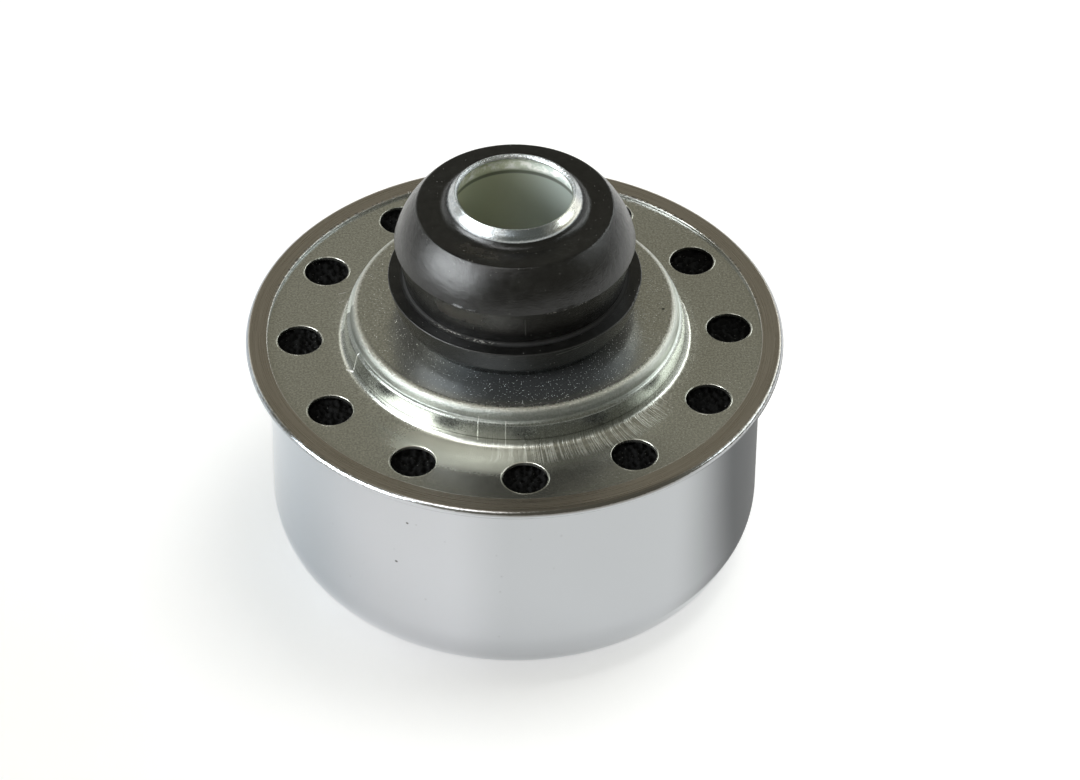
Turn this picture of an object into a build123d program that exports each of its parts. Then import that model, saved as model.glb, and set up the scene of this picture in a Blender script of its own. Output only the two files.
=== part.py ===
# A push-in crankcase breather for a valve cover: a drawn cap hemmed over a
# vented base plate, with a flanged neck tube, a rubber grommet on the neck, a
# foam filter ring and a splash cup inside.
# Millimetres. It stands on the crown of its cap with the neck up. The origin is
# the centre of the crown's flat outer face, and +Z points out of the neck.
# Every piece is turned or drawn round, so each profile is drawn in the XZ plane
# as radius and height, and revolved about Z.
from build123d import *
import os

os.makedirs("parts", exist_ok=True)

# Cap: a deep drawn can whose mouth is turned out and folded back over the plate
rim_r = 38.1              # outside of the folded rim, 3 inches across
rim_flange = 3.1          # rim to the outside of the drawn wall
cap_height = 36.9         # crown face to the top of the folded hem
cap_sheet = 0.45          # sheet thickness
crown_corner = 10.3       # outside radius between crown and wall
flange_bend = 0.6         # outside radius where the wall turns out
fold_flat = 0.04          # straight stretch between the fold's two bends
hem_width = 3.05          # rim to the inner edge of the folded hem

# Base plate: a pressed disc with a ring of vents and a stepped dome
plate_sheet = 0.55        # sheet thickness
vent_r = 3.2              # radius of a vent hole
vent_inset = 7.67         # rim to the ring that the vents stand on
vent_count = 12
vent_turn = 2.85          # degrees from +X to the first vent
vent_land = 0.83          # flat sheet between a vent and the start of the apron
apron_width = 2.05        # start of the apron to the foot of the dome
apron_rise = 0.4          # height gained over that width
apron_soft = 7.0          # radius that softens the start of the rise
dome_foot_bend = 1.1      # radius of the crease at the dome's foot
dome_height = 5.65        # flat ring to the top of the dome
dome_draft = 0.6          # how far the wall leans in
shoulder_drop = 1.6       # top of the dome to the small shoulder in its wall
shoulder_width = 0.5      # width of that shoulder
shoulder_fall = 0.2       # slope across the shoulder
shoulder_edge = 0.35      # outer radius of the shoulder
shoulder_root = 0.25      # inner radius of the shoulder
dome_edge = 1.2           # radius round the top of the dome

# Neck: a flanged tube pushed up through the dome, its mouth nosed inward
neck_r = 9.525            # outside of the tube, 3/4 inch across
neck_sheet = 0.7          # sheet thickness
neck_flange_width = 4.975 # flange welded under the dome
neck_flange_bend = 0.45   # outside radius between flange and tube
neck_proud = 2.4          # top of the mouth over the grommet's flat top
mouth_inset = 1.425       # outside of the tube to the opening of the nosed mouth
mouth_nose = 1.2          # outside radius of the nose
mouth_edge = 0.2          # rounded upper edge of the opening
neck_hole_gap = 0.05      # plate hole to the bend under the tube

# Grommet: one rubber moulding, seated on the dome and tight on the tube.
# Its heights, the names that end in _z, are taken from the top of the dome.
grommet_foot_r = 15.4     # bottom ring that seats on the dome
flange_low_r = 16.9       # lower edge of the flange
flange_low_z = 2.0
flange_low_bend = 0.8
flange_top_r = 17.85      # upper edge of the flange
flange_top_z = 5.6
flange_top_edge = 0.15
groove_r = 15.5           # root of the groove that a cover's edge sits in
groove_root = 0.3
band_r = 16.45            # top of the band over the groove
bulge_r = 16.85           # widest part of the bulb
bulge_z = 11.8
bulge_step = 0.25         # short step under the mould's parting line
bulge_crown = 0.4         # how far the bulb's side stands out past a straight line
nose_r = 13.7             # shoulder between the bulb and its flat top
nose_z = 17.8
nose_edge = 0.5
collar_rise = 0.85        # rubber drawn up the tube
collar_width = 0.5
collar_root = 1.3

# Filter ring: open foam between plate and crown
filter_thickness = 16.35
filter_wall_gap = 0.2     # foam to the inside of the cap's wall
filter_top_gap = 0.1      # foam to the underside of the plate

# Splash cup: a perforated cup welded under the neck's flange
cup_sheet = 0.5
cup_flange_inset = 0.5    # edge of the neck's flange to the edge of the cup's
cup_gap = 1.875           # outside of the tube to the outside of the cup's wall
cup_depth = 10.0
cup_flange_bend = 0.8
cup_floor_bend = 1.6
window_r = 2.0            # round windows in the wall
window_count = 8
window_drop = 5.2         # flange to the windows' centres

# Heights that follow from the sizes above
rim_stack = 2 * cap_sheet + plate_sheet
rim_under = cap_height - rim_stack
plate_top = cap_height - cap_sheet
plate_under = plate_top - plate_sheet
dome_top = plate_top + dome_height
dome_under = dome_top - plate_sheet
grommet_top = dome_top + nose_z
neck_top = grommet_top + neck_proud
cup_top = dome_under - neck_sheet

# Radii that follow, from the rim inwards
body_r = rim_r - rim_flange
vent_ring_r = rim_r - vent_inset
apron_r = vent_ring_r - vent_r - vent_land
dome_foot_r = apron_r - apron_width
wall_top_r = dome_foot_r - dome_draft
dome_edge_r = wall_top_r - shoulder_width
neck_flange_r = neck_r + neck_flange_width
neck_hole_r = neck_r + neck_flange_bend + neck_hole_gap
mouth_r = neck_r - mouth_inset
cup_r = neck_r + cup_gap

# The cap is drawn along the middle of its sheet, from the crown's centre up the
# wall, out under the plate, round the plate's edge and back over it as the hem
cap_half = cap_sheet / 2
wall_mid_r = body_r - cap_half
rim_mid_r = rim_r - cap_half
fold_mid_r = (rim_stack - cap_sheet - fold_flat) / 2
with BuildPart() as cap_shell:
    with BuildSketch(Plane.XZ):
        with BuildLine():
            FilletPolyline(
                (0, cap_half),
                (wall_mid_r, cap_half),
                (wall_mid_r, rim_under + cap_half),
                (rim_mid_r, rim_under + cap_half),
                (rim_mid_r, cap_height - cap_half),
                (rim_r - hem_width, cap_height - cap_half),
                radius=[crown_corner - cap_half, flange_bend + cap_half, fold_mid_r, fold_mid_r],
            )
        trace(line_width=cap_sheet)
    revolve(axis=Axis.Z)

# The base plate along the middle of its sheet: flat ring, apron, the foot of the
# dome, its wall with the small shoulder, and the flat top in to the neck's hole.
# Its section is drawn between two vents, so that no vent crosses the seam.
plate_half = plate_sheet / 2
plate_r = rim_r - cap_sheet - (fold_mid_r - cap_half)
ring_mid_z = plate_top - plate_half
dome_mid_z = dome_top - plate_half
shoulder_z = dome_mid_z - shoulder_drop
vent_pitch = 360 / vent_count
seam_turn = vent_turn + vent_pitch / 2
between_vents = Plane(
    origin=(0, 0, 0),
    x_dir=Vector(1, 0, 0).rotate(Axis.Z, seam_turn),
    z_dir=Vector(0, -1, 0).rotate(Axis.Z, seam_turn),
)
with BuildPart() as base_plate:
    with BuildSketch(between_vents):
        with BuildLine():
            FilletPolyline(
                (plate_r, ring_mid_z),
                (apron_r, ring_mid_z),
                (dome_foot_r - plate_half, ring_mid_z + apron_rise),
                (wall_top_r - plate_half, shoulder_z - shoulder_fall),
                (dome_edge_r - plate_half, shoulder_z),
                (dome_edge_r - plate_half - shoulder_fall, dome_mid_z),
                (neck_hole_r, dome_mid_z),
                radius=[apron_soft, dome_foot_bend + plate_half, shoulder_edge,
                        shoulder_root + plate_half, dome_edge - plate_half],
            )
        trace(line_width=plate_sheet)
    revolve(axis=Axis.Z)
    with BuildSketch(Plane.XY.offset(plate_under)):
        with PolarLocations(vent_ring_r, vent_count, start_angle=vent_turn):
            Circle(vent_r)
    extrude(amount=plate_sheet, mode=Mode.SUBTRACT)

# The neck tube along the middle of its sheet: flange under the dome, up through
# the dome, and turned in at the mouth
neck_half = neck_sheet / 2
with BuildPart() as neck_tube:
    with BuildSketch(Plane.XZ) as neck_section:
        with BuildLine():
            FilletPolyline(
                (neck_flange_r, dome_under - neck_half),
                (neck_r - neck_half, dome_under - neck_half),
                (neck_r - neck_half, neck_top - neck_half),
                (mouth_r, neck_top - neck_half),
                radius=[neck_flange_bend + neck_half, mouth_nose - neck_half],
            )
        trace(line_width=neck_sheet)
        mouth_corner = neck_section.vertices().group_by(Axis.Y)[-1].sort_by(Axis.X)[0]
        fillet(mouth_corner, radius=mouth_edge)
    revolve(axis=Axis.Z)

# The grommet, one closed section: foot, flange, groove band, parting line, bulb,
# flat top and the thin collar that the rubber makes where the tube comes out
flange_top = dome_top + flange_top_z
parting = (bulge_r, dome_top + bulge_z)
shoulder = (nose_r, grommet_top)
with BuildPart() as grommet:
    with BuildSketch(Plane.XZ) as grommet_section:
        with BuildLine():
            FilletPolyline(
                parting,
                (band_r, dome_top + bulge_z - bulge_step),
                (groove_r, flange_top),
                (flange_top_r, flange_top),
                (flange_low_r, dome_top + flange_low_z),
                (grommet_foot_r, dome_top),
                (neck_r, dome_top),
                (neck_r, grommet_top + collar_rise),
                (neck_r + collar_width, grommet_top),
                shoulder,
                radius=[0, groove_root, flange_top_edge, flange_low_bend, 0, 0, 0, collar_root],
            )
            SagittaArc(shoulder, parting, -bulge_crown)
        make_face()
        fillet(grommet_section.vertices().sort_by_distance(shoulder)[0], radius=nose_edge)
    revolve(axis=Axis.Z)

# The filter ring fills the can between crown and plate, round an open middle
filter_wall_r = body_r - cap_sheet - filter_wall_gap
with BuildPart() as filter_element:
    with BuildSketch(Plane.XZ):
        with BuildLine():
            FilletPolyline(
                (filter_wall_r - filter_thickness, cap_sheet),
                (filter_wall_r, cap_sheet),
                (filter_wall_r, plate_under - filter_top_gap),
                (filter_wall_r - filter_thickness, plate_under - filter_top_gap),
                radius=[0, crown_corner - cap_sheet, 0, 0],
                close=True,
            )
        make_face()
    revolve(axis=Axis.Z)

# The splash cup hangs under the neck's flange: oil drops hit its floor, and air
# leaves through the windows in its wall
cup_half = cup_sheet / 2
cup_floor = cup_top - cup_depth
with BuildPart() as splash_cup:
    with BuildSketch(Plane.XZ):
        with BuildLine():
            FilletPolyline(
                (neck_flange_r - cup_flange_inset, cup_top - cup_half),
                (cup_r - cup_half, cup_top - cup_half),
                (cup_r - cup_half, cup_floor + cup_half),
                (0, cup_floor + cup_half),
                radius=[cup_flange_bend + cup_half, cup_floor_bend - cup_half],
            )
        trace(line_width=cup_sheet)
    revolve(axis=Axis.Z)
    with PolarLocations(0, window_count):
        with Locations(Location((0, 0, cup_top - window_drop), (0, 90, 0))):
            Cylinder(
                window_r,
                cup_r + cup_sheet,
                align=(Align.CENTER, Align.CENTER, Align.MIN),
                mode=Mode.SUBTRACT,
            )

cap_shell.part.label = "cap_shell"
base_plate.part.label = "base_plate"
neck_tube.part.label = "neck_tube"
grommet.part.label = "grommet"
filter_element.part.label = "filter_element"
splash_cup.part.label = "splash_cup"

for piece in (cap_shell, base_plate, neck_tube, grommet, filter_element, splash_cup):
    export_step(piece.part, f"parts/{piece.part.label}.step")
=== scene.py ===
# %% [markdown]
# # A push-in crankcase breather, ready for its picture
# The part stands on the crown of its chromed cap with the neck up. Its solids
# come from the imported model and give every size. This lesson adds what solids
# alone can't show: sheet with rolled edges, moulded rubber, open foam, and the
# finishes of chrome, zinc and rubber.
# Everything is turned or drawn round, so one idea carries the whole lesson: a
# section, drawn as radius and height, that is carried round the Z axis.

# %% Load the frame
import bpy
import math
import numpy as np
from mathutils import Matrix, Vector


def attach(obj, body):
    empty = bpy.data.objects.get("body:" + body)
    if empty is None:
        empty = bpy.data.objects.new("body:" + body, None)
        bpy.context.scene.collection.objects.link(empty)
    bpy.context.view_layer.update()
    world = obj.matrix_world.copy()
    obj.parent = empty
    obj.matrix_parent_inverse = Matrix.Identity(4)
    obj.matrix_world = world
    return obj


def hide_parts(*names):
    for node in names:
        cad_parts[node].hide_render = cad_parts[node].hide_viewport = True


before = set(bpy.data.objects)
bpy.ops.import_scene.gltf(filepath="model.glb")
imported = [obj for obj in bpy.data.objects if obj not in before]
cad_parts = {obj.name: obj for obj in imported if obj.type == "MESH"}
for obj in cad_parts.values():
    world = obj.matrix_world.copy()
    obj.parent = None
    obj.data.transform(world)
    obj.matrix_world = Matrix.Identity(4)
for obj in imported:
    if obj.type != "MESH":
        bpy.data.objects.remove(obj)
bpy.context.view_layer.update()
MM = 0.001

# %% [markdown]
# ## The camera comes first
# A camera fitted to the rim's ellipse and to the twelve vents stands 0.65 m
# away and looks down at 40 degrees. The part sits a little off the middle of the
# picture, so the camera is turned by a fraction of a degree instead of shifted.
# A turned camera keeps its lens centred, which other views rely on.

# %% Camera
scene = bpy.context.scene
rim_centre = Vector((0, 0, 36.9)) * MM
camera_distance = 653.457 * MM
camera_elevation = math.radians(40.254)
aim_right, aim_up, camera_roll = 0.00554, -0.01263, 0.00328
back = Vector((0, -math.cos(camera_elevation), math.sin(camera_elevation)))
right = Vector((1, 0, 0))
up = right.cross(-back)
ahead = (-back + aim_right * right + aim_up * up).normalized()
right = ahead.cross(up).normalized()
up = right.cross(ahead)
rolled_right = math.cos(camera_roll) * right + math.sin(camera_roll) * up
rolled_up = math.cos(camera_roll) * up - math.sin(camera_roll) * right
lens = bpy.data.cameras.new("camera")
lens.sensor_width = 36
lens.lens = 153.69
lens.clip_start, lens.clip_end = 0.01, 20
camera = bpy.data.objects.new("camera", lens)
camera.matrix_world = (
    Matrix.Translation(rim_centre + back * camera_distance)
    @ Matrix((rolled_right, rolled_up, -ahead)).transposed().to_4x4()
)
scene.collection.objects.link(camera)
scene.camera = camera
scene.view_settings.view_transform = "Standard"
print("camera at", [round(c, 4) for c in camera.location])

# %% [markdown]
# ## Sections: straight runs joined by arcs
# A pressed part has no sharp corners, and polished metal shows each bend as a
# streak of light. So a section is a path of corners, each with its own bend
# radius. Bevel modifiers could round the corners later, but then the bends
# wouldn't be the ones that the solids have.

# %% Rounded paths
def rounded(corners, radii, turn=7.5, step=1.0, guard=0.06):
    """A path through the corners, with arcs in place of them.
    At a corner that turns by t, an arc of radius r starts r*tan(t/2) before it.
    Its points are centre - r*(n*cos(k) - d*sin(k)) for even steps of the angle k
    from 0 to t, where d is the way in and n points to the centre. A straight run
    is divided evenly from `guard` after one bend to `guard` before the next, so
    that smooth shading stays flat where the metal is flat."""
    corners = np.array(corners, float)
    bends = []
    for before, corner, after, r in zip(corners, corners[1:], corners[2:], radii):
        way_in = (corner - before) / np.linalg.norm(corner - before)
        way_out = (after - corner) / np.linalg.norm(after - corner)
        t = math.atan2(way_in[0] * way_out[1] - way_in[1] * way_out[0], way_in @ way_out)
        inward = np.array((-way_in[1], way_in[0])) * math.copysign(1, t)
        start = corner - r * math.tan(abs(t) / 2) * way_in
        steps = max(2, math.ceil(abs(math.degrees(t)) / turn) + 1) if r else 1
        k = np.linspace(0, abs(t), steps)[:, None]
        bends.append(start + r * inward - r * (inward * np.cos(k) - way_in * np.sin(k)))
    path = [corners[:1]]
    for bend in bends + [corners[-1:]]:
        start, run = path[-1][-1], bend[0] - path[-1][-1]
        length = np.hypot(*run)
        if length > 4 * guard:
            s = np.linspace(guard, length - guard, math.ceil(length / step) + 1)[:, None]
            path.append(start + s * run / length)
        path.append(bend)
    return np.concatenate(path)


def sheet(corners, radii, thickness, edge, **finer):
    """The outline of sheet metal, from the corners along its middle: each point
    of the rounded path is pushed half the thickness to either side, along the
    normal (dz, -dr), and both cut edges are closed with corners of radius `edge`.
    An end on the axis is left open, because the turned shape closes there."""
    half = thickness / 2
    corners = np.array(corners, float)
    on_axis = corners[:, 0] < 1e-9
    for end, beside in ((0, 1), (-1, -2)):
        if not on_axis[end]:
            pull = corners[beside] - corners[end]
            corners[end] += edge * pull / np.linalg.norm(pull)
    path = rounded(corners, radii, **finer)
    chords = np.diff(path, axis=0)
    chords /= np.linalg.norm(chords, axis=1)[:, None]
    way = np.concatenate([chords[:1], chords[:-1] + chords[1:], chords[-1:]])
    way /= np.linalg.norm(way, axis=1)[:, None]
    normal = np.column_stack([way[:, 1], -way[:, 0]])
    k = np.radians(np.arange(15, 90, 15))[:, None]

    def cut(point, along, side):
        first = point + side * (half - edge) + edge * (side * np.cos(k) + along * np.sin(k))
        second = point - side * (half - edge) + edge * (along * np.cos(k) - side * np.sin(k))
        middle_points = point + edge * along + side * (half - edge) * np.array([[1], [-1]])
        return np.concatenate([first, middle_points, second])

    outline = [path + half * normal]
    if not on_axis[-1]:
        outline.append(cut(path[-1], way[-1], normal[-1]))
    outline.append((path - half * normal)[::-1])
    if not on_axis[0]:
        outline.append(cut(path[0], -way[0], -normal[0]))
    return np.concatenate(outline)


bend = [(1, 0), (10, 0), (10, 10)]
outlined = sheet(bend, [2], 0.5, 0.1)
print("a bend has", len(rounded(bend, [2])), "points, and its sheet has", len(outlined))

# %% [markdown]
# ## From sections to surfaces
# Turning a section gives a grid: one way along the section, the other way round
# the axis. A Screw modifier would do this too, but a grid of our own keeps its
# points in a known order, so dents and burrs can be written as arrays later.

# %% Grids and meshes
VENTS = 12
PITCH = 360 / VENTS       # degrees from vent to vent
SEAM = 2.85               # degrees from +X to the first vent
AROUND = 288              # columns, a whole number for each vent


def columns(count):
    """Angles of the columns, in radians, starting between two vents."""
    return np.radians(SEAM - PITCH / 2 + np.arange(count) * 360 / count)


def turned(profile, count=AROUND):
    """Point (i, j) of the grid is (r_i*cos(a_j), r_i*sin(a_j), z_i)."""
    a = columns(count)
    r, z = profile.T
    across = np.broadcast_to(z[:, None], (len(z), count))
    return np.stack([r[:, None] * np.cos(a), r[:, None] * np.sin(a), across], axis=-1)


def quads(rows, count, closed):
    """Faces of a grid whose columns close on themselves: (i, j), (i, j+1),
    (i+1, j+1), (i+1, j). They face out when the section runs anticlockwise."""
    index = np.arange(rows * count).reshape(rows, count)
    low = index if closed else index[:-1]
    high = np.roll(index, -1, axis=0) if closed else index[1:]
    beside = [np.roll(row, -1, axis=1) for row in (low, high)]
    return np.stack([low, beside[0], beside[1], high], axis=-1).reshape(-1, 4)


def piece(name, points, faces):
    """A smooth mesh object from points in millimetres. Points that coincide are
    merged first, which closes seams and poles, and a face with a corner twice
    becomes a triangle."""
    points = points.reshape(-1, 3)
    kept, new = np.unique(np.round(points, 5), axis=0, return_inverse=True)
    faces = new.reshape(-1)[faces]
    twice = faces == np.roll(faces, -1, axis=1)
    whole = faces[~twice.any(axis=1)].tolist()
    at_pole = faces[twice.any(axis=1)]
    at_pole = at_pole[~twice[twice.any(axis=1)]].reshape(-1, 3).tolist()
    mesh = bpy.data.meshes.new(name)
    mesh.from_pydata((kept * MM).tolist(), [], whole + at_pole)
    mesh.polygons.foreach_set("use_smooth", np.ones(len(mesh.polygons), bool))
    mesh.update()
    made = bpy.data.objects.new(name, mesh)
    scene.collection.objects.link(made)
    print(f"{name}: {2 * len(whole) + len(at_pole)} triangles")
    return made


def stands_for(made, node):
    """The new piece rides on the one body and takes the node's place."""
    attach(made, "root")
    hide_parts(node)


print("a vent every", AROUND // VENTS, "columns, from", SEAM - PITCH / 2, "degrees on")

# %% [markdown]
# ## The cap
# One deep drawn can. Its mouth is turned out as a flange, runs under the edge of
# the base plate and is folded back over it, so the sheet is followed from the
# crown's centre to the hem's inner edge as one path.

# %% Cap
RIM, BODY, CAP_TOP = 38.1, 35.0, 36.9      # radii of rim and wall, height of the hem
CAP_SHEET, PLATE_SHEET = 0.45, 0.55
hem_width = 3.05          # rim to the inner edge of the folded hem
RIM_UNDER = CAP_TOP - 2 * CAP_SHEET - PLATE_SHEET
cap_half = CAP_SHEET / 2
wall_mid, rim_mid = BODY - cap_half, RIM - cap_half
crown_bend, flange_bend, fold_bend = 10.3 - cap_half, 0.6 + cap_half, 0.48
cap_profile = sheet(
    [(0, cap_half), (wall_mid, cap_half), (wall_mid, RIM_UNDER + cap_half),
     (rim_mid, RIM_UNDER + cap_half), (rim_mid, CAP_TOP - cap_half),
     (RIM - hem_width, CAP_TOP - cap_half)],
    [crown_bend, flange_bend, fold_bend, fold_bend], CAP_SHEET, 0.09, turn=5.0, step=2.5,
)
cap = piece("cap", turned(cap_profile), quads(len(cap_profile), AROUND, closed=False))
stands_for(cap, "cap_shell")

# %% [markdown]
# ## The base plate
# The dome in the middle and the edge under the hem are turned. The ring between
# them has twelve pierced vents, and a cut made with a boolean would leave long
# thin triangles that spoil the shading. Instead each vent gets its own patch:
# rings of points that start as the patch's outline, a twelfth of the ring, and
# end as the vent's circle. Patches and turned parts share their outline points,
# so merging makes one closed sheet.

# %% Base plate, the turned parts
PLATE_TOP = CAP_TOP - CAP_SHEET
PLATE_UNDER = PLATE_TOP - PLATE_SHEET
DOME_TOP = PLATE_TOP + 5.65
DOME_UNDER = DOME_TOP - PLATE_SHEET
VENT_RING, VENT = 30.43, 3.14
RING_IN, RING_OUT = 27.04, 34.9             # the flat ring that the patches fill
edge_r, apron_r, neck_hole_r = 37.395, 26.4, 10.025
foot_r, wall_r, dome_r = 24.35, 23.75, 23.25  # dome's foot, top of its wall, shoulder
half = PLATE_SHEET / 2
ring_z, dome_z = PLATE_TOP - half, DOME_TOP - half
plate_profile = sheet(
    [(edge_r, ring_z), (RING_OUT, ring_z), (RING_IN, ring_z), (apron_r, ring_z),
     (foot_r - half, ring_z + 0.4), (wall_r - half, dome_z - 1.8), (dome_r - half, dome_z - 1.6),
     (dome_r - 0.2 - half, dome_z), (neck_hole_r, dome_z)],
    [0, 0, 7.0, 1.1 + half, 0.35, 0.25 + half, 1.2 - half], PLATE_SHEET, 0.1, turn=5.0,
)
turned_faces = quads(len(plate_profile), AROUND, closed=True).reshape(-1, AROUND, 4)
in_ring = (plate_profile[:, 0] > RING_IN - 1e-6) & (plate_profile[:, 0] < RING_OUT + 1e-6)
turned_faces = turned_faces[~(in_ring & np.roll(in_ring, -1))].reshape(-1, 4)
print("rows of the plate:", len(plate_profile), "of which in the vented ring:", in_ring.sum())


# %% Base plate, the twelve vents
def vent_patches():
    """All vents at once. Seen from a vent's centre, the patch's outline lies in
    direction f at distance b. Row i stands at distance b*t_i + c_i*(1 - t_i) and
    height z_i: t goes from 1 at the outline to 0 at the vent, and back below.
    The punched edge is a fine raised lip, an arc of radius lip_r round the vent
    that stands lip_up over the plate."""
    lip_r, lip_up = 0.13, 0.05
    arc = np.radians(np.linspace(PITCH / 2, -PITCH / 2, AROUND // VENTS + 1))[:-1]
    side = np.linspace(RING_IN, RING_OUT, 13)[:-1]
    away = RING_OUT + RING_IN - side
    outline = np.concatenate([
        RING_IN * np.column_stack([np.cos(arc), np.sin(arc)]),
        side[:, None] * (math.cos(arc[0]), -math.sin(arc[0])),
        RING_OUT * np.column_stack([np.cos(arc), -np.sin(arc)]),
        away[:, None] * (math.cos(arc[0]), math.sin(arc[0])),
    ]) - (VENT_RING, 0)
    b, f = np.hypot(*outline.T), np.arctan2(outline[:, 1], outline[:, 0])
    k = np.radians(np.linspace(142, 0, 9))
    lip = lip_r * (1 - np.cos(k)), PLATE_TOP + lip_up - lip_r * (1 - np.sin(k))
    c = np.r_[np.full(5, 0.24), lip[0], 0, 0.04, np.full(3, 0.1)] + VENT
    t = np.r_[1, 0.6, 0.3, 0.1, np.zeros(len(k) + 4), 0.4, 1]
    z = np.r_[np.full(5, PLATE_TOP), lip[1], PLATE_UNDER + 0.04, np.full(4, PLATE_UNDER)]
    distance = b * t[:, None] + c[:, None] * (1 - t[:, None])
    x, y = VENT_RING + distance * np.cos(f), distance * np.sin(f)
    turn = np.radians(SEAM + np.arange(VENTS) * PITCH)[:, None, None]
    points = np.stack([
        x * np.cos(turn) - y * np.sin(turn),
        x * np.sin(turn) + y * np.cos(turn),
        np.broadcast_to(z[:, None], (VENTS,) + x.shape),
    ], axis=-1)
    one = quads(len(z), len(f), closed=False)
    return points.reshape(-1, 3), np.concatenate([one + v * x.size for v in range(VENTS)])


ring_points, ring_faces = vent_patches()
turned_points = turned(plate_profile).reshape(-1, 3)
plate = piece(
    "base_plate_pressing",
    np.concatenate([turned_points, ring_points]),
    np.concatenate([turned_faces, ring_faces + len(turned_points)]),
)
stands_for(plate, "base_plate")

# %% [markdown]
# ## The neck tube
# A flange under the dome, a straight tube, and a mouth that is nosed inward. A
# mouth rounded with one radius would show a thin line of light. The real one
# shows a broad highlight, so its nose is a short cone with a soft bend below it.
# It is the brightest line of the whole part and has the finest steps.

# %% Neck tube
RUBBER_TOP = DOME_TOP + 17.8
NECK_TOP = RUBBER_TOP + 2.4
NECK, NECK_SHEET, FLANGE = 9.525, 0.7, 14.5
neck_half = NECK_SHEET / 2
nose_start, mouth = NECK_TOP - 1.35, (8.15, NECK_TOP - 0.21)
tube_profile = sheet(
    [(FLANGE, DOME_UNDER - neck_half), (NECK - neck_half, DOME_UNDER - neck_half),
     (NECK - neck_half, nose_start), mouth],
    [0.8, 1.6], NECK_SHEET, 0.12, turn=3.0,
)
tube = piece("neck_tube_nosed", turned(tube_profile), quads(len(tube_profile), AROUND, closed=True))
stands_for(tube, "neck_tube")

# %% [markdown]
# ## The grommet
# One rubber moulding. It is a solid, so its section is a closed outline instead
# of a sheet. Its bulb bows out a little, its two mould halves meet in a fine
# crease, and the rubber rises round the tube in a thin collar. Rubber also
# carries what happened to it, and small bumps along the crease and a few nicks
# in the flange are pushed in or out along the surface, as arrays over the grid.

# %% Grommet
def closed_outline(corners, radii):
    """A closed section: it starts and ends in the middle of its last side."""
    middle = (np.array(corners[-1]) + corners[0]) / 2
    return rounded([middle, *corners, middle], radii, turn=3.6, step=0.6)[:-1]


flange_z = DOME_TOP + 5.6
parting = np.array((16.85, DOME_TOP + 11.8))
shoulder = np.array((13.7, RUBBER_TOP))
chord = shoulder - parting
bow = 0.81                # how far outside the chord the bulb's end tangents meet
bow_corner = (parting + shoulder) / 2 + bow * np.array((chord[1], -chord[0])) / np.hypot(*chord)
# bore and foot, flange, groove, band, parting line, bulb, flat top and collar
rubber_profile = closed_outline(
    [(NECK, DOME_TOP), (15.4, DOME_TOP), (16.9, DOME_TOP + 2), (17.85, flange_z),
     (15.5, flange_z), (16.45, DOME_TOP + 11.55), parting, bow_corner, shoulder,
     (NECK + 0.5, RUBBER_TOP), (NECK, RUBBER_TOP + 0.85)],
    [0, 0.15, 0.8, 0.15, 0.3, 0.08, 0.1, 13, 0.5, 1.3, 0],
)
rubber_columns = 360
rubber_points = turned(rubber_profile, rubber_columns)
print("the grommet's section has", len(rubber_profile), "points")

# %% Tears and burrs on the grommet
tears = np.random.default_rng(12)
azimuth = np.degrees(columns(rubber_columns)) % 360


def stretch(first, last, soft=3.0):
    """1 on the columns from the first to the last angle, with soft ends."""
    return np.clip((azimuth - first) / soft, 0, 1) * np.clip((last - azimuth) / soft, 0, 1)


def pushed(corner, reach, way, ragged):
    """Moves points by way*(1 - d/reach)*ragged, where way is (outward, up), d is
    their distance from a corner of the section, and ragged has a value a column."""
    near = np.clip(1 - np.hypot(*(rubber_profile - corner).T) / reach, 0, 1)[:, None] * ragged
    rubber_points[..., 0] += near * way[0] * np.cos(columns(rubber_columns))
    rubber_points[..., 1] += near * way[0] * np.sin(columns(rubber_columns))
    rubber_points[..., 2] += near * way[1]


torn = np.clip(tears.normal(0.5, 0.5, rubber_columns), 0, 1)
pushed((15.8, flange_z), 0.3, (0.0, 0.2), torn * stretch(222, 262))
pushed((17.85, flange_z), 0.5, (-0.2, -0.1), torn * stretch(334, 356))
pushed(parting, 0.35, (0.12, 0.0), torn * (stretch(238, 254) + stretch(287, 306)))
grommet_faces = quads(len(rubber_profile), rubber_columns, closed=True)
grommet = piece("grommet_moulding", rubber_points, grommet_faces)
stands_for(grommet, "grommet")

# %% [markdown]
# ## The foam filter
# Open foam, seen only through the vents as a dark pitted floor. Real pores are
# countless, but from here only the top row of them shows, so the ring's top is a
# height field: each point sinks by how near it lies to the middle of a pore, and
# the pores' middles are scattered with a seeded generator.

# %% Foam, its section
FOAM_OUT, FOAM_IN, FOAM_TOP = 34.35, 18.0, PLATE_UNDER - 0.1
foam_columns = 960
foam_path = rounded(
    [(FOAM_IN, CAP_SHEET), (FOAM_OUT, CAP_SHEET), (FOAM_OUT, FOAM_TOP), (FOAM_IN, FOAM_TOP)],
    [9.85, 0.15], turn=12, step=40,
)
foam_path = foam_path[foam_path[:, 0] > FOAM_IN + 0.1]
under_vents = np.arange(34.1, 26.4, -0.2)   # radii close enough for pores
dense = np.column_stack([under_vents, np.full(len(under_vents), FOAM_TOP)])
foam_profile = np.concatenate([
    [(FOAM_IN, CAP_SHEET)], foam_path, dense, [(23.0, FOAM_TOP), (FOAM_IN, FOAM_TOP)],
])
foam_points = turned(foam_profile, foam_columns)
print("the foam's section has", len(foam_profile), "points, under the vents", len(dense))

# %% Foam, its pores
pores = np.random.default_rng(12)
PORE, SINK, FUZZ = 0.85, 0.7, 0.06          # cell of a pore, its depth, loose threads


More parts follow.
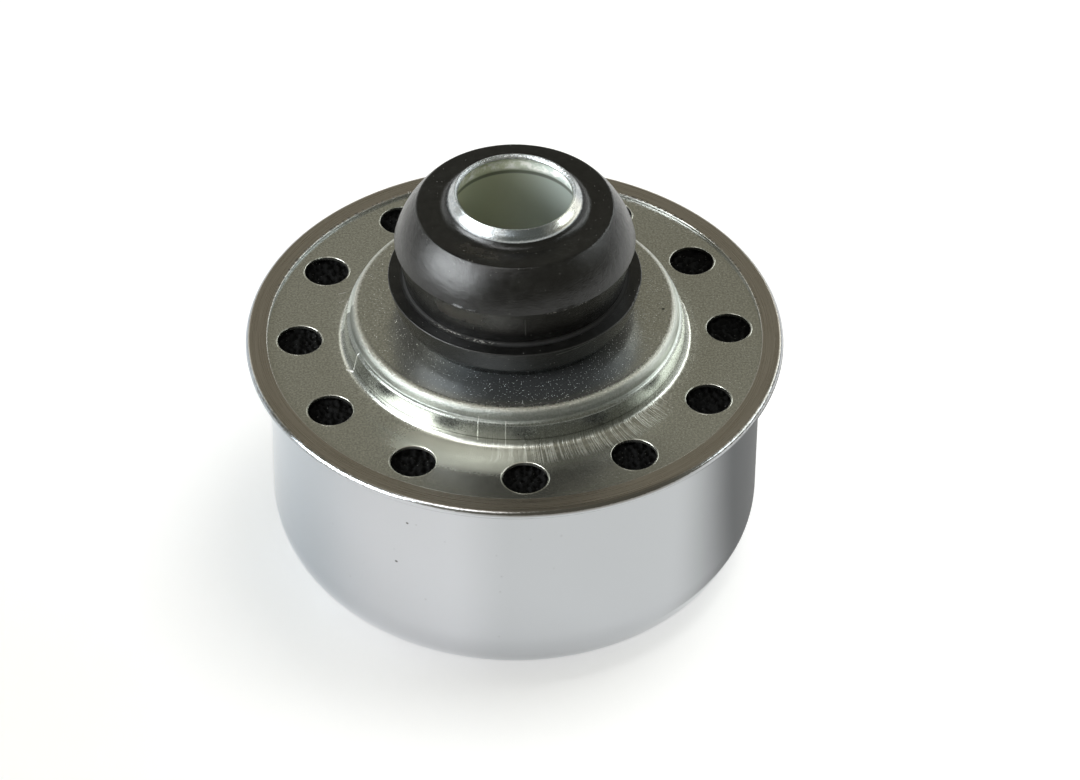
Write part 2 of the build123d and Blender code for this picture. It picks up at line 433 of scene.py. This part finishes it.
def pore_depth(x, y):
    """Depth 0 to 1 at each point: 1 at the middle of the nearest pore, falling
    off with the square of the distance. Each square cell of the plane holds one
    pore, moved at random inside it, and the cells repeat after `size` of them."""
    u, v = x / PORE, y / PORE
    size = 96
    shift = pores.uniform(0.1, 0.9, (size, size, 2))
    best = np.full(x.shape, 9.0)
    for du in (-1, 0, 1):
        for dv in (-1, 0, 1):
            cu, cv = np.floor(u).astype(int) + du, np.floor(v).astype(int) + dv
            px = cu + shift[cu % size, cv % size, 0]
            py = cv + shift[cu % size, cv % size, 1]
            best = np.minimum(best, (u - px) ** 2 + (v - py) ** 2)
    return np.clip(1 - best / 0.35, 0, 1)


on_top = foam_points[..., 2] > FOAM_TOP - 1e-6
depth = np.where(on_top, pore_depth(foam_points[..., 0], foam_points[..., 1]), 0)
foam_points[..., 2] -= SINK * depth + np.where(on_top, pores.uniform(0, FUZZ, depth.shape), 0)
print("pores sink the foam by up to", round(SINK * depth.max(), 2), "mm")
foam = piece("foam_ring", foam_points, quads(len(foam_profile), foam_columns, closed=True))
stands_for(foam, "filter_element")

# %% [markdown]
# ## Shader sums written as Python
# A finish mixes many patterns, and its sums are hard to read as boxes and wires.
# A small class wraps a socket, so that `1 - mask` adds the Math node for it. Any
# other node comes from one method of the finish.

# %% Sums
class Wire:
    """A socket that carries a number or a colour, and the finish it belongs to."""

    def __init__(self, finish, socket):
        self.finish, self.socket = finish, socket

    def sum(self, operation, *values):
        return self.finish.node(
            "ShaderNodeMath", {"operation": operation}, dict(enumerate(values))
        )

    def __add__(self, other):
        return self.sum("ADD", self, other)

    def __sub__(self, other):
        return self.sum("SUBTRACT", self, other)

    def __rsub__(self, other):
        return self.sum("SUBTRACT", other, self)

    def __mul__(self, other):
        return self.sum("MULTIPLY", self, other)

    def __rtruediv__(self, other):
        return self.sum("DIVIDE", other, self)

    __radd__, __rmul__ = __add__, __mul__


# %% [markdown]
# ## Patterns in millimetres
# The same few patterns make every finish here: noise, specks, strokes, and soft
# masks by height, radius or angle. They read a piece's own coordinates in
# millimetres, so a mark stands where the sections say that it does, and no
# picture has to be wrapped round the piece.

# %% Finish
class Finish:
    """A material and its nodes. Patterns read Object coordinates in millimetres."""

    def __init__(self, name):
        self.material = bpy.data.materials.new(name)
        self.material.use_nodes = True
        self.tree = self.material.node_tree
        self.shader = self.tree.nodes["Principled BSDF"]
        place = self.node("ShaderNodeTexCoord", out="Object")
        self.place = self.node(
            "ShaderNodeVectorMath", {"operation": "SCALE"}, {"Vector": place, "Scale": 1 / MM}
        )
        self.x, self.y, self.z = [
            self.node("ShaderNodeSeparateXYZ", inputs={0: self.place}, out=axis) for axis in "XYZ"
        ]
        flat = self.node("ShaderNodeCombineXYZ", inputs={"X": self.x, "Y": self.y})
        self.radius = self.node(
            "ShaderNodeVectorMath", {"operation": "LENGTH"}, {0: flat}, out="Value"
        )
        self.angle = self.x.sum("ARCTAN2", self.y, self.x)

    def node(self, kind, settings={}, inputs={}, out=0):
        """Any node: its settings, its inputs as wires or values, and one output."""
        made = self.tree.nodes.new(kind)
        for name, value in settings.items():
            setattr(made, name, value)
        for name, value in inputs.items():
            if isinstance(value, Wire):
                self.tree.links.new(value.socket, made.inputs[name])
            else:
                made.inputs[name].default_value = value
        return Wire(self, made.outputs[out])

    def fade(self, value, start, end):
        """0 before start and 1 past end, with a soft step between."""
        return self.node(
            "ShaderNodeMapRange", {"interpolation_type": "SMOOTHSTEP"},
            {"Value": value, "From Min": start, "From Max": end},
        )

    def band(self, value, middle, reach):
        """1 at the middle, and 0 where the value is farther from it than reach."""
        return 1 - self.fade(self.x.sum("ABSOLUTE", value - middle), reach * 0.4, reach)

    def noise(self, scale, detail=2.0, at=None, rough=0.5):
        """Noise about 0.5, with `scale` lumps to the millimetre."""
        return self.node("ShaderNodeTexNoise", inputs={
            "Vector": at or self.place, "Scale": scale, "Detail": detail, "Roughness": rough,
        })

    def specks(self, scale, size, share=1.0):
        """1 on specks that reach `size` of a cell, in that share of the cells."""
        near = self.node("ShaderNodeTexVoronoi", inputs={"Vector": self.place, "Scale": scale})
        chance = self.node(
            "ShaderNodeSeparateColor", inputs={0: Wire(self, near.socket.node.outputs["Color"])}
        )
        return (1 - self.fade(near, size * 0.6, size)) * self.fade(chance, 1 - share, 1.01 - share)

    def stroke(self, u, v, start, end, width):
        """1 along a line from start to end in the plane of u and v. The nearest
        place on it is t = (p - start).(end - start)/length^2, held in 0 to 1."""
        du, dv = end[0] - start[0], end[1] - start[1]
        square = du * du + dv * dv
        u, v = u - start[0], v - start[1]
        t = self.node("ShaderNodeClamp", inputs={0: u * (du / square) + v * (dv / square)})
        away_u, away_v = u - t * du, v - t * dv
        away = away_u * away_u + away_v * away_v
        return 1 - self.fade(away, 0.0, width * width)

    def strokes(self, u, v, *lines):
        """The sum of strokes, each given as strength, start, end and width."""
        return sum(line[0] * self.stroke(u, v, *line[1:]) for line in lines)

    def polar(self, along=1.0, radial=1.0, up=1.0):
        """Coordinates (angle, radius, height), each with its own density."""
        return self.node(
            "ShaderNodeCombineXYZ",
            inputs={"X": self.angle * along, "Y": self.radius * radial, "Z": self.z * up},
        )

    def blend(self, mask, first, second):
        """The first colour where the mask is 0 and the second where it is 1."""
        as_colour = [c if isinstance(c, Wire) else (*c, 1) for c in (first, second)]
        return self.node(
            "ShaderNodeMix", {"data_type": "RGBA"},
            {0: mask, 6: as_colour[0], 7: as_colour[1]}, out=2,
        )

    def coated(self, tint, *coats):
        """The tint under coats, each given as its mask and its colour."""
        for mask, colour in coats:
            tint = self.blend(mask, tint, colour)
        return tint

    def bump(self, height):
        """A normal from a height in millimetres."""
        return self.node(
            "ShaderNodeBump", inputs={"Strength": 1.0, "Distance": MM, "Height": height}
        )

    def feed(self, **values):
        """Sets the shader's inputs, with _ for a space in their names."""
        for name, value in values.items():
            socket = self.shader.inputs[name.replace("_", " ")]
            if isinstance(value, Wire):
                self.tree.links.new(value.socket, socket)
            else:
                socket.default_value = value
        print(self.material.name, "has", len(self.tree.nodes), "nodes")


def wear(finish, *objects):
    """Puts the finish in every material slot of the objects. The pieces made
    here have no slot yet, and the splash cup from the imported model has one."""
    for made in objects:
        if not made.material_slots:
            made.data.materials.append(finish.material)
        for each in made.material_slots:
            each.material = finish.material


# %% [markdown]
# ## Chrome
# The can was polished before plating, so its wall is a mirror with a faint long
# ripple from the drawing press, a few pits and fine specks. The hem was folded
# after plating. The rollers left it duller, warmer and brushed, with a row of
# small chatter marks along its inner edge, and they broke the plating on the
# outside of the fold into dark speckles. One finish holds all of this, because
# height, radius and angle are enough to tell wall, hem and fold apart.

# %% Chrome, where things are
chrome = Finish("chrome_plate")
hem = chrome.fade(chrome.z, 36.75, 36.88) * chrome.fade(chrome.radius, 34.9, 35.2)
fold = chrome.fade(chrome.radius, 37.2, 37.6)
inner_edge = chrome.fade(chrome.radius, 35.0, 35.05)
inner_edge = inner_edge * (1 - chrome.fade(chrome.radius, 35.25, 35.6))
# Painted highlight: a pale line along the hem's rolled inner edge.
painted_edge_highlight = hem * chrome.band(chrome.radius, 35.13, 0.1)
# Masks for painted reflections on the wall: bluer at the far left, paler left of centre.
at_left = 1 - chrome.fade(chrome.x, -34, -18)
painted_pale_reflection = chrome.band(chrome.x, -16, 16)
at_back = chrome.fade(chrome.y, -4, 14)
along = chrome.angle * BODY                 # millimetres round the wall
print("chrome's zones take", len(chrome.tree.nodes), "nodes")

# %% Chrome, its texture and wear
ripple, mist = chrome.noise(0.09, 1.0), chrome.noise(0.25, 3.0)
brushed = chrome.noise(1.0, 4.0, at=chrome.polar(2.5, 7.0, 1.0), rough=0.75)
peened = chrome.noise(1.0, 3.0, at=chrome.polar(60.0, 3.0, 3.0), rough=0.7)
chatter = chrome.noise(1.0, 0.0, at=chrome.polar(70.0, 0.9, 0.6))
marks = hem * inner_edge * chrome.fade(chatter, 0.5, 0.62) * at_back
pits = chrome.strokes(
    along, chrome.z,
    (1, (-70.19, 29.23), (-70.10, 29.2), 0.2), (1, (-72.02, 21.3), (-71.9, 21.3), 0.22),
) + 0.15 * chrome.specks(0.35, 0.07)
worn = chrome.band(chrome.angle, -2.5, 0.55) + chrome.band(chrome.angle, -0.45, 0.35)
worn = worn * fold * chrome.fade(chrome.z, 36.1, 36.5) * (1 - chrome.fade(peened, 0.42, 0.54))
# Painted dark reflection on the front of the fold.
painted_dark_front = fold * chrome.fade(chrome.z, 36.0, 36.4) * chrome.band(chrome.angle, -1.3, 0.6)
print("with its wear it has", len(chrome.tree.nodes), "nodes")

# %% Chrome, its colour and shine
# The wall's tint holds painted reflections of the lit paper: paler left of centre and bluer at the
# far left.
wall_tint_and_reflections = chrome.coated(
    (0.475, 0.49, 0.51), (painted_pale_reflection, (0.57, 0.582, 0.61)), (at_left, (0.445, 0.485, 0.53))
)
hem_tint = chrome.blend(chrome.fade(brushed, 0.3, 0.7), (0.40, 0.36, 0.31), (0.51, 0.465, 0.41))
chrome.feed(
    Base_Color=chrome.coated(
        chrome.blend(hem, wall_tint_and_reflections, hem_tint),
        (worn * 0.75, (0.22, 0.21, 0.19)),
        (painted_dark_front * 0.8, (0.17, 0.155, 0.135)),
        (painted_edge_highlight * 0.5, (0.9, 0.88, 0.84)),
        (marks * 0.75, (0.10, 0.095, 0.085)),
        (pits, (0.12, 0.12, 0.12)),
    ),
    Metallic=1.0,
    Roughness=0.07 + 0.03 * mist + hem * (0.12 + 0.16 * brushed) + marks * 0.2 + fold * 0.04,
    Normal=chrome.bump(
        ripple * 0.05 + hem * brushed * 0.015 + fold * peened * 0.03 - marks * 0.05 - pits * 0.01
    ),
)
wear(chrome, cap)

# %% [markdown]
# ## Zinc
# Zinc plate is softer than chrome: a fine grain of crystals blurs what it
# mirrors, and the glints of single crystals are painted as pale specks. The
# rounded edge of the dome is the roughest, because the sheet was stretched
# there. The wall below it is painted darker at the front as shade and paler at
# the right as a highlight, with a painted dark line of shade low down where it
# bends into the foot, and it has a few upright scratches. Painted reflections
# make the dome's top bluish in front and the ring darker in front by the hem,
# and a painted highlight lightens the ring at the front left. The apron in front
# carries a fan of short radial scratches. All of it is drawn in the finish, since
# the deepest of these marks is only a few hundredths of a millimetre deep.

# %% Zinc on the base plate, where things are
zinc = Finish("zinc_plate")
wall = zinc.fade(zinc.radius, 22.4, 23.0) * (1 - zinc.fade(zinc.radius, 24.3, 24.8))
# Painted shade: a dark line low on the wall, where it bends into the foot.
painted_crease_shade = zinc.band(zinc.z, 37.85, 0.12) * wall
rounded_edge = zinc.band(zinc.radius, 22.7, 1.0)
apron = zinc.fade(zinc.radius, 24.1, 24.5) * (1 - zinc.fade(zinc.radius, 26.6, 28.2))
in_front = zinc.fade(zinc.angle, -1.95, -1.55) * (1 - zinc.fade(zinc.angle, -0.8, -0.5))
# The wall is painted darker at the front as shade and paler at the right as a highlight.
painted_highlight_right = zinc.fade(zinc.angle, -0.9, -0.5)
# Painted reflection: the dome's top in front is tinted cool.
painted_cool_reflection = zinc.band(zinc.angle, -1.45, 1.2) * (1 - zinc.fade(zinc.radius, 20.0, 22.3))
# Painted dark reflection on the ring in front, near the hem.
painted_dark_reflection = zinc.band(zinc.angle, -1.42, 0.75) * zinc.fade(zinc.radius, 28.3, 30.5)
# Painted highlight on the ring at the front left.
painted_highlight_patch = zinc.band(zinc.angle, -1.83, 0.5) * zinc.band(zinc.radius, 27.2, 3.6)
along = zinc.angle * 24                     # millimetres round the wall
print("zinc's zones take", len(zinc.tree.nodes), "nodes")

# %% Zinc on the base plate, its texture and marks
grain, cloud = zinc.noise(3.4, 3.0, rough=0.7), zinc.noise(0.12, 3.0)
# Glints of single crystals, painted as pale specks.
painted_glints = zinc.specks(4.0, 0.24, 0.5) * (1 - 0.7 * zinc.fade(zinc.radius, 21.5, 23))
streaks = zinc.noise(1.0, 2.0, at=zinc.polar(160.0, 0.12, 0.1), rough=0.6)
fan = zinc.fade(streaks, 0.48, 0.68) * apron * in_front
ticks = (1 - zinc.fade(streaks, 0.3, 0.42)) * zinc.band(zinc.radius, 24.6, 0.9) * in_front
scratches = wall * zinc.strokes(
    along, zinc.z,
    (0.8, (-66.1, 40.3), (-66.45, 37.4), 0.1),
    (0.5, (-42.8, 40.8), (-42.7, 37.4), 0.07),
    (0.5, (-38.9, 40.4), (-38.9, 36.6), 0.07),
)
scratches = scratches + zinc.stroke(along, zinc.radius, (-66.4, 24.4), (-67.4, 24.9), 0.14)
scratches = scratches + zinc.strokes(
    zinc.x, zinc.y,
    (0.4, (17.5, -7.0), (19.2, -7.6), 0.1),
    (0.6, (-24.2, 9.0), (-25.2, 8.7), 0.08),
    (0.6, (-24.4, 7.0), (-25.0, 6.7), 0.08),
)
dot = zinc.stroke(zinc.x, zinc.y, (20.88, -1.09), (20.95, -1.05), 0.24)
print("with its marks it has", len(zinc.tree.nodes), "nodes")

# %% Zinc on the base plate, its colour and shine
grain_tint = zinc.blend(zinc.fade(grain, 0.35, 0.65), (0.44, 0.44, 0.39), (0.66, 0.655, 0.595))
zinc.feed(
    Base_Color=zinc.coated(
        grain_tint,
        # Painted shade and highlight on the wall, painted reflections on the dome and ring, a
        # painted highlight patch.
        (0.75 * wall, zinc.blend(painted_highlight_right, (0.14, 0.16, 0.155), (0.66, 0.71, 0.67))),
        (0.8 * painted_cool_reflection, (0.40, 0.44, 0.47)),
        (0.5 * painted_dark_reflection, (0.24, 0.24, 0.215)),
        (painted_highlight_patch, (0.95, 0.95, 0.86)),
        (scratches + 0.25 * fan + 0.5 * painted_glints, (0.85, 0.85, 0.82)),
        (dot + 0.6 * painted_crease_shade + 0.6 * ticks, (0.02, 0.02, 0.02)),
    ),
    Metallic=0.95 - 0.26 * painted_glints - 0.15 * fan,
    Roughness=0.14 + 0.12 * grain + 0.06 * cloud + 0.07 * rounded_edge + 0.2 * (scratches + fan)
    + 0.04 * wall + 0.12 * painted_highlight_patch,
    Normal=zinc.bump(
        grain * (0.015 + 0.09 * rounded_edge) + cloud * 0.15 + painted_glints * 0.02 + fan * 0.015
        + scratches * 0.02
    ),
)
wear(zinc, plate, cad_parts["splash_cup"])

# %% [markdown]
# The neck is the same plating on drawn tube, cooler and a little scuffed
# outside. Inside the mouth it is duller, with a pale mottled band painted there
# as a highlight and a dark line under it painted as shade. The nose itself
# carries a painted dark reflection in front and a painted highlight at the right.

# %% Zinc on the tube
bright = Finish("zinc_tube")
inside = (1 - bright.fade(bright.z, 61.3, 61.6)) * (1 - bright.fade(bright.radius, 9.0, 9.2))
# Painted highlight: a pale mottled band inside the mouth, made diffuse.
painted_highlight_band = bright.band(bright.z, 60.1, 1.1) * inside
# Painted shade: a dark line under that band.
painted_shade_line = bright.band(bright.z, 58.85, 0.4) * inside
lip = bright.band(bright.radius, 8.25, 0.3) * bright.fade(bright.z, 61.8, 62.0)
on_nose = bright.fade(bright.z, 60.9, 61.2)
# Painted dark reflection on the front of the nose, and a painted highlight at its right.
painted_dark_front = bright.band(bright.angle, -1.4, 0.5) * on_nose
painted_sheen = bright.band(bright.angle, -0.5, 0.5) * on_nose
scuff = bright.noise(2.2, 4.0, rough=0.65)
patches = bright.fade(bright.noise(0.8, 4.0, rough=0.6), 0.4, 0.62)
outer_tint = bright.coated(
    bright.blend(bright.fade(scuff, 0.35, 0.65), (0.45, 0.48, 0.50), (0.60, 0.62, 0.63)),
    (painted_dark_front * (1 - lip), (0.22, 0.25, 0.27)),
    (painted_sheen, (1.0, 1.0, 0.92)),
)
inner_tint = bright.coated(
    bright.blend(bright.fade(bright.x, -4, 7), (0.66, 0.67, 0.50), (0.66, 0.73, 0.70)),
    (painted_highlight_band * patches, (1.0, 1.0, 0.95)),
    (painted_shade_line * 0.7, (0.1, 0.11, 0.08)),
)
bright.feed(
    Base_Color=bright.blend(inside, outer_tint, inner_tint),
    Metallic=0.95 - 0.35 * inside - 0.6 * painted_highlight_band,
    Roughness=0.2 + 0.12 * scuff + 0.15 * inside - 0.15 * painted_highlight_band,
    Normal=bright.bump(scuff * (0.02 + 0.12 * painted_highlight_band + 0.1 * lip)),
)
wear(bright, tube)

# %% [markdown]
# ## Rubber
# Moulded rubber is nearly black and half matt. It shows its age in what sits on
# it: specks of dust, a bloom of powder, crumbs of torn flash along the parting
# line and in the groove, and a long pale scuff round the flange. Two warm patches
# at the left are painted sheen, with more roughness. Broad noise under the shine
# breaks its highlights up, as the uneven skin of old rubber does.

# %% Rubber, where things are
rubber = Finish("black_rubber")
at_left = rubber.band(rubber.angle, -2.05, 0.4)
in_front = rubber.band(rubber.angle, -1.1, 0.3)
parting_line = rubber.band(rubber.z, 53.55, 0.25) * in_front
groove = rubber.band(rubber.z, 47.85, 0.12) * rubber.band(rubber.radius, 15.75, 0.25) * at_left
groove_root = rubber.band(rubber.z, 47.9, 0.35) * rubber.band(rubber.radius, 15.7, 0.5)
flange_side = rubber.band(rubber.z, 45.6, 2.4)
flat_top = rubber.fade(rubber.z, 59.6, 59.8)
along = rubber.angle * 17                   # millimetres round the flange
print("rubber's zones take", len(rubber.tree.nodes), "nodes")

# %% Rubber, its skin and marks
skin = rubber.noise(5.0, 4.0, rough=0.65)
stain = rubber.noise(0.7, 4.0, rough=0.65)
bloom = rubber.noise(0.16, 3.0, rough=0.6)
creases = rubber.noise(1.0, 3.0, at=rubber.polar(3.0, 2.0, 4.0), rough=0.7)
crumbs = rubber.fade(rubber.noise(3.6, 2.0), 0.5, 0.6)
pale = rubber.specks(1.6, 0.09, 0.4) + crumbs * (parting_line + groove) + rubber.strokes(
    along, rubber.z,
    (0.25, (-21.0, 46.9), (-15.1, 47.35), 0.08), (0.08, (-25.15, 52.6), (-25.1, 49.6), 0.14),
)
# Painted sheen: two warm patches at the left, on the flat top by the collar and on the band under
# the parting line.
painted_sheen = rubber.band(rubber.angle, -2.0, 0.4) * rubber.band(rubber.radius, 11.5, 1.3) * flat_top
painted_sheen = painted_sheen + rubber.band(rubber.angle, -2.04, 0.3) * rubber.band(rubber.z, 52.1, 1.5)
painted_sheen = painted_sheen * rubber.fade(stain, 0.2, 0.75)
print("with its marks it has", len(rubber.tree.nodes), "nodes")

# %% Rubber, its colour and shine
stained = rubber.blend(
    rubber.fade(stain, 0.3, 0.7), (0.003, 0.003, 0.003), (0.008, 0.008, 0.0075)
)
rubber.feed(
    Base_Color=rubber.coated(
        stained, (painted_sheen, (0.022, 0.019, 0.014)), (pale * 0.6, (0.42, 0.41, 0.38))
    ),
    Roughness=0.06 + 0.12 * bloom + 0.13 * stain + 0.07 * skin - 0.1 * flat_top
    + 0.6 * groove_root + 0.35 * painted_sheen,
    Normal=rubber.bump(
        skin * 0.04 + stain * 0.06 + bloom * 0.15 + flange_side * creases * 0.04 + pale * 0.03
    ),
)
wear(rubber, grommet)

# %% [markdown]
# ## Foam
# Oiled foam swallows the light between its threads, and only single threads
# catch a glint. So it is almost black, with the glints painted as a few grey
# specks, and a fine bump.

# %% Foam, its finish
cells = Finish("black_foam")
threads = cells.noise(2.4, 3.0)
painted_thread_glints = cells.specks(2.2, 0.2, 0.3)
cells.feed(
    Base_Color=cells.blend(painted_thread_glints, (0.0015, 0.0015, 0.0015), (0.08, 0.08, 0.075)),
    Roughness=0.75,
    Specular_IOR_Level=0.12,
    Normal=cells.bump(threads * 0.1),
)
wear(cells, foam)

# %% [markdown]
# ## The paper
# The part stands on white paper. Lamps strong enough to turn the paper white
# would wash out the metal. So the paper also glows a little, only for the camera
# and for rays that metal or glass sends on. It lights nothing, looks white in the
# picture and in the chrome, and still holds the part's shadow.

# %% Paper
def laid(name, points, faces):
    """An object of the stage, flat, from points in millimetres."""
    mesh = bpy.data.meshes.new(name)
    mesh.from_pydata((np.array(points) * MM).tolist(), [], faces)
    made = bpy.data.objects.new(name, mesh)
    scene.collection.objects.link(made)
    print(name, "spans", np.ptp(points, axis=0).round(), "mm")
    return made


reach = 3000
floor = laid(
    "floor", [(-reach, -reach, 0), (reach, -reach, 0), (reach, reach, 0), (-reach, reach, 0)],
    [(0, 1, 2, 3)],
)
paper = Finish("paper")
seen = paper.node("ShaderNodeLightPath", out="Is Camera Ray")
seen = seen.sum("MAXIMUM", seen, paper.node("ShaderNodeLightPath", out="Is Glossy Ray"))
seen = seen.sum("MAXIMUM", seen, paper.node("ShaderNodeLightPath", out="Is Transmission Ray"))
paper.feed(Base_Color=(0.85, 0.85, 0.85, 1), Roughness=1.0, Specular_IOR_Level=0.0)
shine = paper.node("ShaderNodeEmission", inputs={"Color": (1, 1, 1, 1), "Strength": seen * 0.46})
both = paper.node("ShaderNodeAddShader", inputs={0: Wire(paper, paper.shader.outputs[0]), 1: shine})
paper.tree.links.new(both.socket, paper.tree.nodes["Material Output"].inputs["Surface"])
wear(paper, floor)

# %% [markdown]
# ## A card of painted shadow
# Polished metal against white paper loses its edge. A black card at the right
# stands in for the part's shadow on the paper, which the metal mirrors as a dark
# band. It is painted shadow: it is there only for mirrored rays, and fades in
# along its length as a soft shadow does. Its far end and its outer edge fade
# too, so that no view shows them as a line.

# %% Card
CARD_COLUMNS = 64
card_angle = np.radians(np.linspace(-50, 130, CARD_COLUMNS))
card_out = np.array([35.5, 110])            # its inner and outer radius
card_lift = 0.4                             # how high over the paper it lies
card_points = np.stack([
    card_out[:, None] * np.cos(card_angle), card_out[:, None] * np.sin(card_angle),
    np.full((2, CARD_COLUMNS), card_lift),
], axis=-1).reshape(-1, 3)
strip = np.arange(CARD_COLUMNS - 1)
card_faces = np.column_stack(
    [strip, strip + CARD_COLUMNS, strip + CARD_COLUMNS + 1, strip + 1]
)
shadow_card = laid("shadow_card", card_points, card_faces.tolist())
# Painted shadow, seen only in the metal.
shadow_card.visible_camera = shadow_card.visible_diffuse = shadow_card.visible_shadow = False
black = Finish("painted_shadow_card")
fades_in = black.fade(
    black.angle + math.radians(1750) / black.radius, math.radians(-4), math.radians(35)
)
fades_out = 1 - black.fade(black.angle, math.radians(90), math.radians(130))
fades_out = fades_out * (1 - black.fade(black.radius, 75, 110))
deeper = 0.77 + 0.12 * black.fade(black.angle, math.radians(45), math.radians(75))
black.feed(
    Base_Color=(0.02, 0.02, 0.02, 1), Roughness=1.0, Specular_IOR_Level=0.0,
    Alpha=fades_in * fades_out * deeper,
)
wear(black, shadow_card)

# %% [markdown]
# ## Lamps
# Polished metal shows the room itself, so each lamp stands where a highlight of
# the photograph says that it is: the key low at the left, one high at the front
# left, a wide window at the right behind, and a weak fill at the left behind.
# Large lamps near the part give the soft-ended streaks of a lit room, which a
# lamp without a size can't.

# %% Lamps
def softbox(name, azimuth, elevation, distance, width, height, radiance, colour=(1, 1, 1)):
    """An area lamp that faces the part's middle. Azimuth is measured from +X
    towards +Y. A lamp of area A and radiance L needs a power of 4*A*L."""
    a, e = math.radians(azimuth), math.radians(elevation)
    out = Vector((math.cos(a) * math.cos(e), math.sin(a) * math.cos(e), math.sin(e)))
    lamp = bpy.data.lights.new(name, "AREA")
    lamp.shape = "RECTANGLE"
    lamp.size, lamp.size_y = width, height
    lamp.energy = 4 * width * height * radiance
    lamp.color = colour
    made = bpy.data.objects.new(name, lamp)
    made.location = Vector((0, 0, 0.04)) + out * distance
    made.rotation_mode = "QUATERNION"
    made.rotation_quaternion = (-out).to_track_quat("-Z", "Y")
    scene.collection.objects.link(made)
    print(f"{name}: {lamp.energy:.2f} W")
    return made


key = softbox("key", 203, 21, 0.8, 0.64, 0.44, 9.5, (0.94, 0.98, 1.0))
overhead = softbox("overhead", 241, 58, 0.9, 0.42, 0.36, 2.7)
softbox("window", 28, 29, 0.8, 1.02, 0.2, 2.7, (0.94, 1.0, 1.0))
softbox("fill", 138, 24, 0.8, 0.4, 0.3, 0.8, (0.96, 1.0, 0.98))
paper_lamp = softbox("paper_lamp", 24, 76, 0.9, 0.5, 0.46, 3.7)

# %% [markdown]
# A photographer puts flags between a lamp and what it shouldn't light. Light
# linking does the same here. The key and the high lamp skip the paper, and one
# lamp lights nothing else, which puts the soft shadow at the left and in front,
# where the photograph has it.

# %% Flags
def flagged(name, state, *lamps):
    """Keeps the lamps off the floor (EXCLUDE), or off all but the floor (INCLUDE)."""
    flag = bpy.data.collections.new(name)
    flag.objects.link(floor)
    flag.collection_objects[0].light_linking.link_state = state
    for lamp in lamps:
        lamp.light_linking.receiver_collection = flag
    print(name, "flags", len(lamps), "of the lamps")


flagged("off_the_paper", "EXCLUDE", key, overhead)
flagged("on_the_paper", "INCLUDE", paper_lamp)

# %% [markdown]
# ## The room
# The flat plate mirrors the room above it, and the photograph shows it dim and
# warm there. Low behind the part the room is bright, as white paper is where it
# sweeps up behind a subject. Two colours and two masks are enough for that.

# %% Room
class Room(Finish):
    """The world's nodes, with the same sums as a finish."""

    def __init__(self, name):
        self.world = bpy.data.worlds.new(name)
        self.world.use_nodes = True
        self.tree = self.world.node_tree
        way = self.node("ShaderNodeTexCoord", out="Generated")
        self.y, self.z = [
            self.node("ShaderNodeSeparateXYZ", inputs={0: way}, out=axis) for axis in "YZ"
        ]


room = Room("room")
sweep = (1 - room.fade(room.z, 0.14, 0.24)) * room.fade(room.y, 0.0, 0.5)
walls = room.blend(sweep, (0.25, 0.243, 0.2), (0.95, 0.95, 0.95))
room.tree.links.new(walls.socket, room.tree.nodes["Background"].inputs["Color"])
scene.world = room.world
print("room has", len(room.tree.nodes), "nodes")
